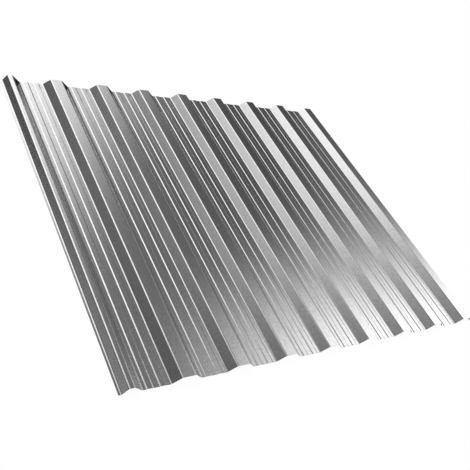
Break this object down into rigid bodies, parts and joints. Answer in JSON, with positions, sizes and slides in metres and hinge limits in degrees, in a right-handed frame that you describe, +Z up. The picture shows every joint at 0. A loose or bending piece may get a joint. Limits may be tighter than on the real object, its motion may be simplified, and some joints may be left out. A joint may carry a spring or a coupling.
{
  "type": "corrugated metal sheet",
  "caption": "Trapezoidal corrugated steel sheet with low stiffening ribs in its valleys, a narrow underlap crest with a foot at one edge and a full crest at the other.",
  "frame": {"origin": "middle of the sheet's footprint, on the plane that the undersides of its valleys lie on", "axes": "+X across the corrugations from the underlap edge to the overlap edge, +Y along the corrugations, +Z up towards the crests"},
  "size_m": [1.151, 1, 0.0185],
  "materials": {
    "galvanised_steel": "smooth zinc-coated cold-rolled steel, semi-bright, with a fine grain along the rolling direction"
  },
  "bodies": {
    "root": {"corrugated_sheet": "galvanised_steel"}
  },
  "joints": []
}
